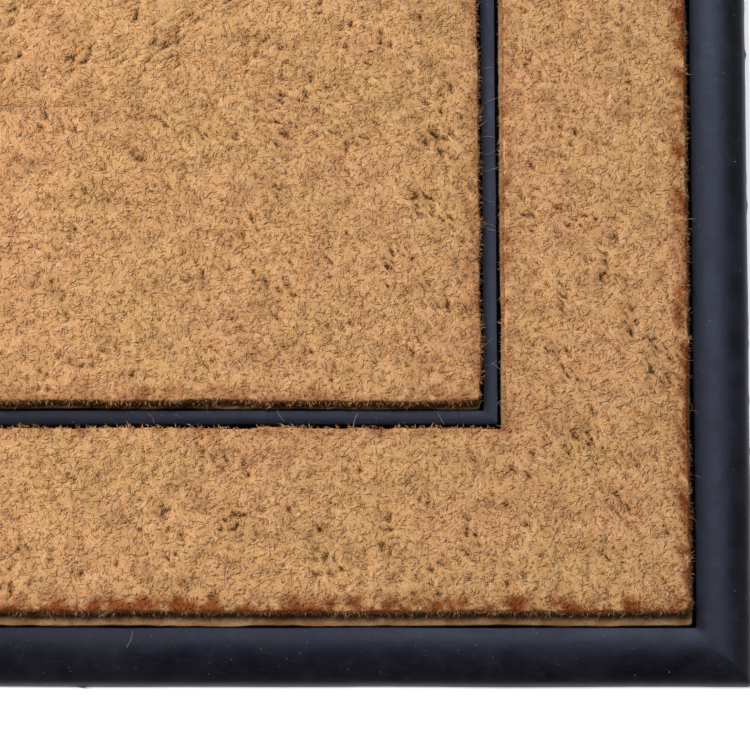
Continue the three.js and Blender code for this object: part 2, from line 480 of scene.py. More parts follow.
def adhesive_material(coir):
    """Brushed latex adhesive, brown with lighter drags."""
    material, tree, shader, where = new_material("latex_adhesive")
    drags = cloud(tree, vectors(tree, "MULTIPLY", where, (1.0, 5.0, 1.0)), 0.02, 3)
    lighter = tuple(min(1, 1.8 * part) for part in coir.adhesive)
    toned = mixed(tree, drags, tuple(coir.adhesive), lighter)
    fill(tree, shader, {"Base Color": toned, "Roughness": ranged(tree, drags, 0, 1, 0.35, 0.6)})
    return material


def floor_material(stage):
    """Plain matt floor."""
    material, tree, shader, _ = new_material("pale_floor")
    fill(tree, shader, {
        "Base Color": (*stage.floor, 1),
        "Roughness": 0.9,
        "Emission Color": (1, 1, 1, 1),
        "Emission Strength": 0.45,
    })
    return material


# Shared outlines of the mat, from the frame and the rubber settings


class Plan:
    """The mat's outlines in plan, from the outside in."""

    def __init__(self, rubber, coir):
        clearance = rubber.wall_clearance
        self.mat = outline_of("rubber_tray", rubber.corner_radius)
        self.band_backing = outline_of("border_coir_backing", coir.backing_corner)
        self.centre_backing = outline_of("centre_coir_backing", coir.backing_corner)
        self.band = inset(self.band_backing, -clearance, rubber.recess_corner)
        self.centre = inset(self.centre_backing, -clearance, rubber.recess_corner)
        self.rib = inset(self.centre, -rubber.rib_width)
        self.band_backing_hole = inset(self.rib, -clearance, coir.backing_corner)
        band_solid = outline_of("border_coir_pile", coir.corner_radius)
        centre_solid = outline_of("centre_coir_pile", coir.corner_radius)
        self.band_pile = drawn_in(band_solid, coir.side_inset, coir.end_inset)
        self.centre_pile = drawn_in(centre_solid, coir.centre_side_inset, coir.centre_end_inset)
        self.band_pile_hole = inset(self.band_backing_hole, -coir.rib_selvedge, coir.corner_radius / 2)


def divisions(outline, spacing):
    return (round(2 * outline[0] / spacing), round(2 * outline[1] / spacing))


def ride_and_replace(piece, slot, *nodes):
    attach(piece, BODY)
    if nodes:
        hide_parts(*nodes)
    return piece


# Rubber tray


def tray_sections(plan, rubber):
    """The moulding's rings as (outline, height), from under the middle, out and over the border,
    and down, up and down again over the rib to the floor of the centre recess."""
    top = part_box("rubber_tray")[1].z
    mat, fillet, floor = plan.mat, rubber.edge_radius, rubber.web_top
    lip, rise = rubber.lip_height, top - rubber.lip_height
    reach = mat[0] - plan.band[0]
    sharp = 0.4 * MM
    foot = inset(mat, rubber.foot_ring)
    sections = [
        (inset(foot, 0.3 * MM), rubber.foot_height),
        (foot, 0.2 * MM),
        (inset(foot, -0.3 * MM), 0),
        (inset(mat, 0.3 * MM), 0),
        (mat, 0.3 * MM),
        (mat, lip),
    ]
    slope, slope_steps, crest_steps = reach - rubber.crest, 16, 5
    for step in range(1, slope_steps):
        turn = math.pi / 2 * step / slope_steps
        run = slope * (1 - math.cos(turn))
        blend = rubber.mitre_blend * max(0, 2 * run / slope - 1)
        radius = max(sharp, rubber.corner_radius - run, blend)
        sections.append((inset(mat, run, radius), lip + rise * math.sin(turn)))
    for step in range(crest_steps):
        share = step / crest_steps
        radius = rubber.mitre_blend * (1 - share) + rubber.recess_corner * share
        height = top - rubber.crest_drop * share**2
        sections.append((inset(mat, slope + (rubber.crest - fillet) * share, radius), height))
    sections += wall(plan.band, top - rubber.crest_drop, floor, fillet, inwards=True)
    sections += wall(plan.rib, top - rubber.rib_drop, floor, fillet, inwards=False)
    crown = between(plan.rib, plan.centre, 0.5)
    sections.append((crown, top - rubber.rib_drop + 0.1 * MM))
    sections += wall(plan.centre, top - rubber.rib_drop, floor, fillet, inwards=True)
    return sections


def wall(outline, top, floor, fillet, inwards):
    """Rings of one wall between a rounded upper edge and the floor, met from the outside: inwards
    goes down into a recess, and otherwise up on to a rib."""
    side = 1 if inwards else -1
    rings = [
        (inset(outline, -side * (fillet - fillet * math.sin(turn))), top - fillet * (1 - math.cos(turn)))
        for turn in (0, math.pi / 6, math.pi / 3, math.pi / 2)
    ]
    draft = 0.25 * MM
    rings.append((inset(outline, side * draft), floor + 0.3 * MM))
    rings.append((inset(outline, side * (draft + 0.3 * MM)), floor))
    return rings if inwards else rings[::-1]


FLASH_NUBS = 46


def flashed(rings, rubber, plan, dice):
    """Nubs of flash on the lip, at odd places round the mat."""
    half_x, half_y = plan.mat[:2]
    nubs = []
    for _ in range(FLASH_NUBS):
        place = dice.uniform(-1, 1)
        side = dice.choice(((1, 0), (-1, 0), (0, 1), (0, -1)))
        along = place * (half_y if side[0] else half_x)
        nubs.append((side, along, dice.uniform(0.25, 1) * rubber.flash, dice.uniform(0.8, 2.2) * MM))
    for points in rings:
        if points[0][2] > rubber.lip_height:
            continue
        for (side_x, side_y), along, height, width in nubs:
            edge = half_x if side_x else half_y
            depth = edge - (points[:, 0] * side_x + points[:, 1] * side_y)
            shift = points[:, 1] * abs(side_x) + points[:, 0] * abs(side_y) - along
            swell = height * np.exp(-((shift / width) ** 2)) * (depth < 0.5 * MM)
            points[:, 0] += side_x * swell
            points[:, 1] += side_y * swell
    return rings


class DOORMAT_OT_rubber_tray(bpy.types.Operator):
    """Mould the rubber tray: foot ring, domed border, recesses and dividing rib"""

    bl_idname = "doormat.rubber_tray"
    bl_label = "Rubber Tray"

    def execute(self, context):
        rubber, coir = context.scene.doormat_rubber, context.scene.doormat_coir
        plan = Plan(rubber, coir)
        spacing = divisions(plan.mat, 3 * MM)
        rings = [ring(o, z, spacing) for o, z in tray_sections(plan, rubber)]
        rings = flashed(rings, rubber, plan, random.Random(11))
        outer = [k for k, points in enumerate(rings) if points[0][0] > plan.band[0] - 0.1 * MM]
        wavy = strayed(rings, rubber.waviness, 60 * MM, 3.1)
        wavy = strayed(wavy, 0.25 * rubber.waviness, 9 * MM, 5.7)
        for k in range(len(rings)):
            wavy[k][:, 2] = np.maximum(rings[k][:, 2] + 0.35 * (wavy[k][:, 2] - rings[k][:, 2]), 0)
            if k not in outer or rings[k][0][2] <= rubber.web_top:
                wavy[k][:, 2] = rings[k][:, 2]
        tray = loft("tray_moulding", wavy, False, rubber_material(rubber))
        store(tray.data, "recess_shade", "FLOAT", np.concatenate([self.recess_shade(r, plan, rubber) for r in rings]))
        ride_and_replace(tray, "tray_rubber", "rubber_tray")
        return {"FINISHED"}

    @staticmethod
    def recess_shade(points, plan, rubber):
        """How deep in a recess each point lies, from 0 at the rim to 1 at the floor: how far the rubber is
        painted black there as painted shade, and made rougher.
        """
        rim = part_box("rubber_tray")[1].z - rubber.crest_drop - rubber.edge_radius
        depth = np.clip((rim - points[:, 2]) / (rim - rubber.web_top - 2 * MM), 0, 1)
        inside = np.all(np.abs(points[:, :2]) < np.array(plan.band[:2]) + 0.3 * MM, axis=1)
        return depth * inside


def pip_tree():
    """A grid of round pips under the web."""
    tree = bpy.data.node_groups.new("Anti-slip pips", "GeometryNodeTree")
    sockets = {
        "Length": ("Float", 0.7),
        "Depth": ("Float", 0.4),
        "Along": ("Int", 2),
        "Across": ("Int", 2),
        "Diameter": ("Float", 0.014),
        "Height": ("Float", 0.0015),
        "Material": ("Material", None),
    }
    given = wired(tree, sockets)
    grid = {"Size X": given["Length"], "Size Y": given["Depth"]}
    grid |= {"Vertices X": given["Along"], "Vertices Y": given["Across"]}
    places = add(tree, "GeometryNodeMeshToPoints", {"Mesh": add(tree, "GeometryNodeMeshGrid", grid)})
    radius = sums(tree, "MULTIPLY", given["Diameter"], 0.5)
    shank = {"Vertices": 24, "Side Segments": 1, "Radius": radius, "Depth": given["Height"]}
    pip = add(tree, "GeometryNodeMeshCylinder", shank)
    raised = add(tree, "ShaderNodeCombineXYZ", {"Z": sums(tree, "MULTIPLY", given["Height"], 0.5)})
    pip = add(tree, "GeometryNodeTransform", {"Geometry": pip, "Translation": raised})
    pips = add(tree, "GeometryNodeInstanceOnPoints", {"Points": places, "Instance": pip})
    finished(tree, pips, given["Material"])
    return tree


class DOORMAT_OT_anti_slip_pips(bpy.types.Operator):
    """Set out the round anti-slip pips on the underside"""

    bl_idname = "doormat.anti_slip_pips"
    bl_label = "Anti-slip Pips"

    def execute(self, context):
        rubber = context.scene.doormat_rubber
        counts = []
        for half in outline_of("rubber_tray", 0)[:2]:
            room = 2 * (half - rubber.foot_ring - rubber.pip_edge_gap) - rubber.pip_diameter
            counts.append(math.floor(room / rubber.pip_pitch) + 1)
        values = {
            "Length": (counts[0] - 1) * rubber.pip_pitch,
            "Depth": (counts[1] - 1) * rubber.pip_pitch,
            "Along": counts[0],
            "Across": counts[1],
            "Diameter": rubber.pip_diameter,
            "Height": rubber.foot_height + 0.3 * MM,
            "Material": bpy.data.materials["tray_rubber"],
        }
        carrier = bpy.data.meshes.new("pip_carrier")
        pips = grown("anti_slip_pips", carrier, pip_tree(), values)
        pips.data.set_sharp_from_angle(angle=math.radians(40))
        ride_and_replace(pips, "tray_rubber", "rubber_tray")
        return {"FINISHED"}


# Coir inserts


class DOORMAT_OT_adhesive(bpy.types.Operator):
    """Finish the adhesive coats, which stay as the frame has them"""

    bl_idname = "doormat.adhesive"
    bl_label = "Adhesive"

    def execute(self, context):
        material = adhesive_material(context.scene.doormat_coir)
        for name in ("border_adhesive", "centre_adhesive"):
            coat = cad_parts[name]
            for slot in coat.material_slots:
                slot.material = material
        return {"FINISHED"}


def slab_sections(edge, bottom, top, fillet, side=1):
    """Rings up the side of a slab and round its upper edge. Side is 1 for an outer edge and -1 for a
    hole's."""
    return [
        (inset(edge, side * 0.3 * MM), bottom),
        (edge, bottom + 0.3 * MM),
        (edge, top - fillet),
        (inset(edge, side * 0.3 * fillet), top - 0.3 * fillet),
        (inset(edge, side * fillet), top),
    ]


class DOORMAT_OT_coir_backings(bpy.types.Operator):
    """Press the two coir backings, whose edges show as a smooth selvedge"""

    bl_idname = "doormat.coir_backings"
    bl_label = "Coir Backings"

    def execute(self, context):
        rubber, coir = context.scene.doormat_rubber, context.scene.doormat_coir
        plan, material = Plan(rubber, coir), backing_material(coir)
        bottom, top = (corner.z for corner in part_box("centre_coir_backing"))
        spacing = divisions(plan.band_backing, 3 * MM)
        fillet, lap = 0.9 * MM, 9 * MM
        outside = slab_sections(plan.band_backing, bottom, top, fillet)
        inside = slab_sections(plan.band_backing_hole, bottom, top, fillet, -1)[::-1]
        shelf = [(inset(plan.band_backing, lap * k / 4), top) for k in (1, 2, 3, 4)]
        far_shelf = [(inset(plan.band_backing_hole, -lap * k / 4), top) for k in (4, 3, 2, 1)]
        sections = outside + shelf + far_shelf + inside
        rings = [ring(o, z, spacing) for o, z in sections]
        band = loft("border_selvedge", self.pressed(rings, bottom), True, material)
        outside = slab_sections(plan.centre_backing, bottom, top, fillet)
        shelf = [(inset(plan.centre_backing, lap * k / 4), top) for k in (1, 2, 3, 4)]
        rings = [ring(o, z, divisions(plan.centre_backing, 3 * MM)) for o, z in outside + shelf]
        centre = loft("centre_selvedge", self.pressed(rings, bottom), False, material)
        for piece, node in ((band, "border_coir_backing"), (centre, "centre_coir_backing")):
            ride_and_replace(piece, "coir_backing", node)
        return {"FINISHED"}

    @staticmethod
    def pressed(rings, bottom):
        """The rings with an uneven cut edge and a faintly rippled top."""
        uneven = strayed(rings, 0.75 * MM, 28 * MM, 9.4)
        uneven = strayed(uneven, 0.42 * MM, 6 * MM, 2.2)
        for flat, points in zip(rings, uneven):
            points[:, 2] = flat[:, 2] + 0.45 * (points[:, 2] - flat[:, 2]) * (flat[:, 2] > bottom)
        return uneven


# The pile

# How far in from an edge the pile leans and strays.
LEAN_REACH = 9 * MM
# Rings up a pile's wall, below its widest one.
WALL_RINGS = 4
# Rings round its upper edge, in degrees from the top. The first is the widest.
FILLET_TURNS = (90, 62, 38, 18)
# A ring of a wall within this height of its foot grows no fibres.
BARE_FOOT = 1.2 * MM
# How much of the painted edge shade the centre panel takes along its edges, against the band.
CENTRE_EDGE_SHADE = 0.5


def pile_sections(outer, hole, bottom, top, edge, undercut, spacing):
    """Rings of a pile as (outline, height, distance from its edge, whether it is on the hole's
    side). Its walls draw in towards the foot. With no hole they end in a narrow slot along the
    middle."""
    fillet = [(edge * (1 - math.sin(t)), edge * math.cos(t)) for t in np.radians(FILLET_TURNS)]
    heights = [bottom + (top - edge - bottom) * k / WALL_RINGS for k in range(WALL_RINGS)]
    across = (outer[0] - hole[0] + outer[1] - hole[1]) / 2 if hole else outer[1] - 2.5 * MM
    half = across / 2 if hole else across
    count = round((half - edge) / spacing)
    sections = [(undercut * (1 - k / WALL_RINGS) ** 2, z, 0.0) for k, z in enumerate(heights)]
    sections += [(run, top - edge + rise, run) for run, rise in fillet]
    runs = [edge + (half - edge) * k / count for k in range(count)] + [half]
    sections += [(run, top, run) for run in runs]
    rings = [(distance, z, d, False) for distance, z, d in sections]
    if hole:
        rings += [(distance, z, d, True) for distance, z, d in sections[-2::-1]]
    made = []
    for distance, z, d, inner in rings:
        share = distance / across
        if not hole:
            outline = inset(outer, distance, max(0.3 * MM, outer[2] - distance))
        elif inner:
            outline = between(hole, outer, share)
        else:
            outline = between(outer, hole, share)
        made.append((outline, z, d, inner))
    return made


def lumpy(points, coir):
    """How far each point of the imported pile's top rises: tufts, clumps and a slow swell."""
    relief = []
    for p in points:
        tufts = 0.9 * rough(p, 3.4 * MM, 1.3) + 0.5 * rough(p, 1.9 * MM, 8.8)
        clumps = 0.6 * rough(p, 11 * MM, 4.4)
        relief.append(tufts + clumps)
    return np.array(relief) * coir.lumps


def pitted(points):
    """Where the pile parts into small pits, from 0 to 1. They are sparse and come in groups."""
    depths = []
    for p in points:
        group = 0.45 * rough(p, 19 * MM, 12.7)
        depths.append(3.2 * (rough(p, 2.9 * MM, 15.1) + group - 0.34))
    return np.clip(depths, 0, 1)


def edge_shaded(points, distance, inner):
    """How much painted shade, dark and reddish, each point of a pile takes, from 0 to 1: in clusters along
    its edges, and less along a hole's."""
    rim = max(0.0, 1 - distance / (6 * MM if inner else 10 * MM))
    clusters = [1.5 * rough(p, 8 * MM, 21.3) + 1.1 * rough(p, 2.7 * MM, 17.9) for p in points]
    return np.clip((0.70 + np.array(clusters)) * rim * (0.6 if inner else 1.4), 0, 1)


def pile_body(name, outer, hole, bottom, top, coir, material):
    """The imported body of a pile, with attributes that say where fibres grow and which way they lean."""
    sections = pile_sections(outer, hole, bottom, top, coir.edge_round, coir.undercut, 2.5 * MM)
    spacing = divisions(outer, 2.6 * MM)
    rings = [ring(outline, z, spacing) for outline, z, _, _ in sections]
    count = len(rings[0])
    fields = {"lean": [], "top_share": [], "wall_share": [], "hollow_shade": [], "edge_shade": []}
    moved = []
    inward = rings[WALL_RINGS + len(FILLET_TURNS)] - rings[WALL_RINGS]
    for points, (_, z, d, inner) in zip(rings, sections):
        away = inward * [1, 1, 0] * (1 if inner else -1)
        away = away / np.maximum(np.linalg.norm(away, axis=1, keepdims=True), 1e-9)
        on_top = z > top - 0.7 * coir.edge_round
        ease = max(0.0, 1 - d / LEAN_REACH)
        pits = pitted(points) * on_top * min(1.0, d / LEAN_REACH)
        relief = lumpy(points, coir) * min(1.0, (z - bottom) / (top - bottom) + 0.001)
        shadow = np.full(count, 0.42 - 0.30 * (z - bottom) / (top - bottom))
        drift = [rough(p, 33 * MM, 6.1) + 0.9 * rough(p, 7 * MM, 3.9) for p in points]
        drift = np.array(drift) * coir.unevenness
        out = away * (drift + (0.35 if on_top else 1.1) * relief)[:, None] * ease
        rise = np.zeros_like(points)
        rise[:, 2] = relief * (1 if on_top else 0.2) * (z > bottom) - pits * coir.pit_depth
        moved.append(points + out + rise)
        on_wall = bottom + BARE_FOOT < z < top - 0.1 * MM and d < coir.edge_round
        # Painted shade: dips of the relief and the pits are darkened on top, and the walls darken towards
        # their foot.
        dip_shade = np.maximum(np.clip(-0.45 * relief / coir.lumps, 0, 0.45), pits)
        fields["lean"].append(away * ease**1.5)
        fields["top_share"].append(on_top * (1 - 0.85 * pits))
        fields["wall_share"].append(np.full(count, float(on_wall)))
        fields["hollow_shade"].append(dip_shade if on_top else shadow)
        # Painted shade along the edges, half as strong down the walls.
        edge_shading = edge_shaded(points, d, inner) * (1.0 if on_top else 0.5)
        fields["edge_shade"].append(edge_shading * (1.0 if hole else CENTRE_EDGE_SHADE))
    body = loft(name, moved, hole is not None, material, 180)
    for field, values in fields.items():
        store(body.data, field, "FLOAT_VECTOR" if field == "lean" else "FLOAT", np.concatenate(values))
    return body


def store(mesh, name, kind, values):
    attribute = mesh.attributes.new(name, kind, "POINT")
    values = np.ravel(values).astype(np.float32)
    attribute.data.foreach_set("vector" if kind == "FLOAT_VECTOR" else "value", values)


class DOORMAT_OT_coir_piles(bpy.types.Operator):
    """Pack the two coir piles"""

    bl_idname = "doormat.coir_piles"
    bl_label = "Coir Piles"

    def execute(self, context):
        rubber, coir = context.scene.doormat_rubber, context.scene.doormat_coir
        plan, material = Plan(rubber, coir), pile_material(coir)
        bottom, top = (corner.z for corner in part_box("centre_coir_pile"))
        top -= coir.body_drop
        band = pile_body("border_pile", plan.band_pile, plan.band_pile_hole, bottom, top, coir, material)
        centre = pile_body("centre_pile", plan.centre_pile, None, bottom, top, coir, material)
        for piece, node in ((band, "border_coir_pile"), (centre, "centre_coir_pile")):
            ride_and_replace(piece, "coir_pile", node)
        return {"FINISHED"}


# Fibres


def spindle_mesh(name, stations):
    """One straight fibre of unit length and width along +Z: a three-sided spindle, pointed at both
    ends, with an attribute that says how far along each point is."""
    points, along = [(0, 0, 0)], [0.0]
    for station, radius in stations:
        for side in range(3):
            turn = math.tau * side / 3
            points.append((radius * math.cos(turn), radius * math.sin(turn), station))
            along.append(station)
    points.append((0, 0, 1))
    along.append(1.0)
    last = len(points) - 1
    faces = [(0, 1 + (k + 1) % 3, 1 + k) for k in range(3)]
    for first in range(1, last - 3, 3):
        for k in range(3):
            after = (k + 1) % 3
            faces.append((first + k, first + after, first + 3 + after, first + 3 + k))
    faces += [(last - 3 + k, last - 3 + (k + 1) % 3, last) for k in range(3)]
    mesh = bpy.data.meshes.new(name)
    mesh.from_pydata(points, [], faces)
    mesh.polygons.foreach_set("use_smooth", [True] * len(mesh.polygons))
    store(mesh, "along", "FLOAT", along)
    return mesh


def random_value(tree, low, high, seed, offset):
    inputs = {"Min": low, "Max": high, "Seed": sums(tree, "ADD", seed, float(offset))}
    return add(tree, "FunctionNodeRandomValue", inputs, "Value")


def attribute(tree, name, kind="FLOAT"):
    return add(tree, "GeometryNodeInputNamedAttribute", {"Name": name}, "Attribute", data_type=kind)


def kept(tree, geometry, name, value, kind="FLOAT"):
    inputs = {"Geometry": geometry, "Name": name, "Value": value}
    return add(tree, "GeometryNodeStoreNamedAttribute", inputs, data_type=kind, domain="POINT")


def fibre_tree():
    """Fibres scattered over a surface. They lie in clumps that share a direction, lean out near an
    edge, rise or hang, and curl."""
    tree = bpy.data.node_groups.new("Coir fibres", "GeometryNodeTree")
    given = wired(tree, {
        "Fibre": ("Object", None),
        "Where": ("String", "top_share"),
        "Density": ("Float", 1000.0),
        "Length": ("Float", 0.006),
        "Width": ("Float", 0.0005),
        "Depth": ("Float", 0.001),
        "Lowest": ("Float", -0.1),
        "Highest": ("Float", 0.4),
        "Combing": ("Float", 0.7),
        "Lift": ("Float", 0.5),
        "Palest": ("Float", 1.0),
        "Curl": ("Float", 0.2),
        "Clump": ("Float", 0.009),
        "Seed": ("Int", 0),
        "Material": ("Material", None),
    })
    seed = given["Seed"]
    share = attribute(tree, given["Where"])
    density = sums(tree, "MULTIPLY", share, given["Density"])
    spread = {"Mesh": given["Geometry"], "Density": density, "Seed": seed}
    points = add(tree, "GeometryNodeDistributePointsOnFaces", spread, "Points")
    sunk = vectors(tree, "SCALE", points.node.outputs["Normal"], sums(tree, "MULTIPLY", given["Depth"], -1.0))
    place = {"Geometry": points, "Offset": sunk}
    points = add(tree, "GeometryNodeSetPosition", place)

    where = add(tree, "GeometryNodeInputPosition")
    clumps = {"Vector": where, "Scale": sums(tree, "DIVIDE", 1.0, given["Clump"]), "Detail": 1.0}
    shared = sums(tree, "MULTIPLY", add(tree, "ShaderNodeTexNoise", clumps, "Fac"), 3 * math.tau)
    heading = sums(tree, "ADD", shared, random_value(tree, -1.5, 1.5, seed, 1))
    level = add(tree, "ShaderNodeCombineXYZ", {
        "X": sums(tree, "COSINE", heading),
        "Y": sums(tree, "SINE", heading),
    })
    lean = attribute(tree, "lean", "FLOAT_VECTOR")
    pull = vectors(tree, "LENGTH", lean)
    loose = sums(tree, "SUBTRACT", 1.0, sums(tree, "MULTIPLY", pull, given["Combing"]))
    level = vectors(tree, "NORMALIZE", vectors(
        tree, "ADD",
        vectors(tree, "SCALE", level, loose),
        vectors(tree, "SCALE", lean, sums(tree, "MULTIPLY", given["Combing"], 1.3)),
    ))
    steepness = random_value(tree, given["Lowest"], given["Highest"], seed, 2)
    rise = sums(tree, "MULTIPLY_ADD", pull, given["Lift"], steepness)
    upright = add(tree, "ShaderNodeCombineXYZ", {"Z": sums(tree, "SINE", rise)})
    way = vectors(tree, "ADD", vectors(tree, "SCALE", level, sums(tree, "COSINE", rise)), upright)
    sideways = vectors(tree, "CROSS_PRODUCT", way, (0.0, 0.0, 1.0))

    size = sums(tree, "MULTIPLY", given["Length"], random_value(tree, 0.55, 1.35, seed, 3))
    size = sums(tree, "MULTIPLY", size, sums(tree, "MULTIPLY_ADD", pull, -0.45, 1.0))
    bend = vectors(tree, "SCALE", sideways, random_value(tree, -1.0, 1.0, seed, 4))
    arch = add(tree, "ShaderNodeCombineXYZ", {"Z": random_value(tree, 0.1, 0.9, seed, 5)})
    bend = vectors(tree, "ADD", bend, arch)
    bend = vectors(tree, "SCALE", bend, sums(tree, "MULTIPLY", given["Curl"], size))
    points = kept(tree, points, "bend", bend, "FLOAT_VECTOR")
    points = kept(tree, points, "shade", random_value(tree, 0.0, given["Palest"], seed, 6))

    aimed = add(tree, "FunctionNodeAlignRotationToVector", {"Vector": way}, axis="Z")
    spin = {"Axis": (0.0, 0.0, 1.0), "Angle": random_value(tree, 0.0, math.tau, seed, 7)}
    spun = {"Rotation": aimed, "Rotate By": add(tree, "FunctionNodeAxisAngleToRotation", spin)}
    turned = add(tree, "FunctionNodeRotateRotation", spun, rotation_space="LOCAL")
    thick = sums(tree, "MULTIPLY", given["Width"], random_value(tree, 0.65, 1.25, seed, 8))
    scale = add(tree, "ShaderNodeCombineXYZ", {"X": thick, "Y": thick, "Z": size})
    fibre = add(tree, "GeometryNodeObjectInfo", {"Object": given["Fibre"]}, "Geometry")
    scatter = {"Points": points, "Instance": fibre, "Rotation": turned, "Scale": scale}
    fibres = add(tree, "GeometryNodeInstanceOnPoints", scatter)
    fibres = add(tree, "GeometryNodeRealizeInstances", {"Geometry": fibres})
    along = attribute(tree, "along")
    arc = sums(tree, "MULTIPLY", sums(tree, "MULTIPLY", along, 4.0), sums(tree, "SUBTRACT", 1.0, along))
    curled = vectors(tree, "SCALE", attribute(tree, "bend", "FLOAT_VECTOR"), arc)
    fibres = add(tree, "GeometryNodeSetPosition", {"Geometry": fibres, "Offset": curled})
    finished(tree, fibres, given["Material"])
    return tree


def fibre_cells(mesh, corners):
    """A map for the bake, on which each fibre has a square cell to itself. All fibres have the same
    faces in the same order, with that many face corners."""
    total = len(mesh.loops) // corners
    columns = math.ceil(math.sqrt(total))
    vertex = np.empty(len(mesh.loops), np.int32)
    mesh.loops.foreach_get("vertex_index", vertex)
    along = np.empty(len(mesh.vertices), np.float32)
    mesh.attributes["along"].data.foreach_get("value", along)
    along = along[vertex]
    ends = (along < 0.001) | (along > 0.999)
    cell = np.arange(len(vertex)) // corners
    around = (vertex - cell * (len(mesh.vertices) // total) - 1) % 3
    side = np.where(ends, 0.5, 0.08 + 0.42 * around)
    u = (cell % columns + side) / columns
    v = (cell // columns + 0.04 + 0.92 * along) / columns
    layer = mesh.uv_layers.new(name="OFBake")
    layer.uv.foreach_set("vector", np.column_stack([u, v]).astype(np.float32).ravel())


def grow_fibres(name, body, tree, fibre, coir, **values):
    settings = {
        "Fibre": fibre,
        "Width": coir.fibre_width,
        "Combing": coir.combing,
        "Material": bpy.data.materials["coir_fibre"],
    }
    piece = grown(name, body.data, tree, settings | values)
    fibre_cells(piece.data, len(fibre.data.loops))
    for extra in ("bend", "along", "lean", "top_share", "wall_share", "hollow_shade"):
        if extra in piece.data.attributes:
            piece.data.attributes.remove(piece.data.attributes[extra])
    return ride_and_replace(piece, "coir_pile")


SHORT_FIBRE = ((0.45, 0.5),)
LONG_FIBRE = ((0.12, 0.34), (0.36, 0.5), (0.64, 0.5), (0.88, 0.30))
BODIES = {"border": "border_pile", "centre": "centre_pile"}


class DOORMAT_OT_pile_fibres(bpy.types.Operator):
    """Grow the fibre ends over the tops and edges of both piles"""

    bl_idname = "doormat.pile_fibres"
    bl_label = "Pile Fibres"

    def execute(self, context):
        coir = context.scene.doormat_coir
        fibre_material(coir)
        tree = fibre_tree()
        short = add_object("short_fibre", spindle_mesh("short_fibre", SHORT_FIBRE))
        long = add_object("long_fibre", spindle_mesh("long_fibre", LONG_FIBRE))
        for seed, (area, body) in enumerate(BODIES.items()):
            body = bpy.data.objects[body]
            for layer, letter in enumerate("abc"):
                grow_fibres(
                    f"{area}_fibres_{letter}", body, tree, short, coir,
                    Where="top_share", Density=coir.fibre_density, Length=coir.fibre_length,
                    Depth=0.5 * MM, Lowest=-0.05, Highest=0.32, Curl=0.24, Clump=3 * MM,
                    Seed=100 * seed + layer,
                )
            grow_fibres(
                f"{area}_edge_fibres", body, tree, short, coir,
                Where="wall_share", Density=850000.0, Length=7.5 * MM, Width=0.42 * MM,
                Depth=0.9 * MM, Lowest=-1.3, Highest=0.0, Curl=0.35, Clump=3 * MM,
                Combing=0.40, Lift=0.0, Palest=1.0, Seed=100 * seed + 40,
            )
            grow_fibres(
                f"{area}_curled_fibres", body, tree, long, coir,
                Where="top_share", Density=5000.0, Length=10 * MM, Width=0.30 * MM,
                Depth=0.1 * MM, Lowest=-0.03, Highest=0.10, Curl=0.35, Clump=20 * MM, Combing=0.1,
                Seed=100 * seed + 60,
            )
        for source in (short, long):
            bpy.data.objects.remove(source)
        return {"FINISHED"}


# What lies loose on the mat

# Fibres on the rubber: from the mat's right edge, from its front edge, then the run to the right and
# to the back, in millimetres.
FIBRES_ON_RUBBER = (
    (134.0, 303.5, 10.3, 6.4),
    (134.5, 271.0, 10.8, 2.2),
    (132.0, 176.9, 3.5, 4.7),
    (129.0, 168.9, 7.0, -5.9),
    (156.0, 142.3, 3.5, -7.5),
    (236.0, 143.3, 3.5, -6.4),
    (301.0, 141.2, 3.5, -6.4),
    (33.5, 108.3, 9.0, -1.1),
    (33.5, 100.3, 6.0, 2.1),
    (309.0, 26.4, -3.5, -10.2),
)
# Fibres scattered beside those: over the rib, and on the pile.
SHED_OVER_RIB = 26
SHED_ON_PILE = 70
LOOSE_FIBRE = ((0.04, 0.3), (0.15, 0.5), (0.3, 0.5), (0.45, 0.5), (0.6, 0.5), (0.75, 0.5), (0.9, 0.4))


def laid(unit, start, run, bow, width):
    """A spindle's points, bent to lie from start along run and bowed to one side."""
    along = unit[:, 2:]
    ahead = np.array(run) / np.linalg.norm(run)
    side = np.array([-ahead[1], ahead[0], 0.0])
    bowed = bow * np.sin(math.pi * along) + 0.12 * bow * np.sin(2 * math.pi * along)
    centre = np.array(start) + np.array(run) * along + side * bowed
    return centre + side * unit[:, :1] * width + np.array([0.0, 0.0, width]) * unit[:, 1:2]


def scattered(dice, plan, rubber_top, pile_top):
    """Loose fibres at odd places, as (start, run): over the rib and on the pile."""
    made = []
    for _ in range(SHED_OVER_RIB):
        along = dice.uniform(-0.9, 0.9)
        side = dice.choice((-1, 1))
        reach = dice.uniform(6, 12) * MM
        skew = dice.uniform(-0.6, 0.6) * reach
        if dice.random() < 0.5:
            made.append(((side * plan.rib[0], along * plan.rib[1], rubber_top), (-side * reach, skew, 0.0)))
        else:
            made.append(((along * plan.rib[0], side * plan.rib[1], rubber_top), (skew, -side * reach, 0.0)))
    for _ in range(SHED_ON_PILE):
        place = (dice.uniform(-1, 1) * plan.band_pile[0], dice.uniform(-1, 1) * plan.band_pile[1], pile_top)
        turn, reach = dice.uniform(0, math.tau), dice.uniform(9, 20) * MM
        made.append((place, (reach * math.cos(turn), reach * math.sin(turn), 0.0)))
    return made


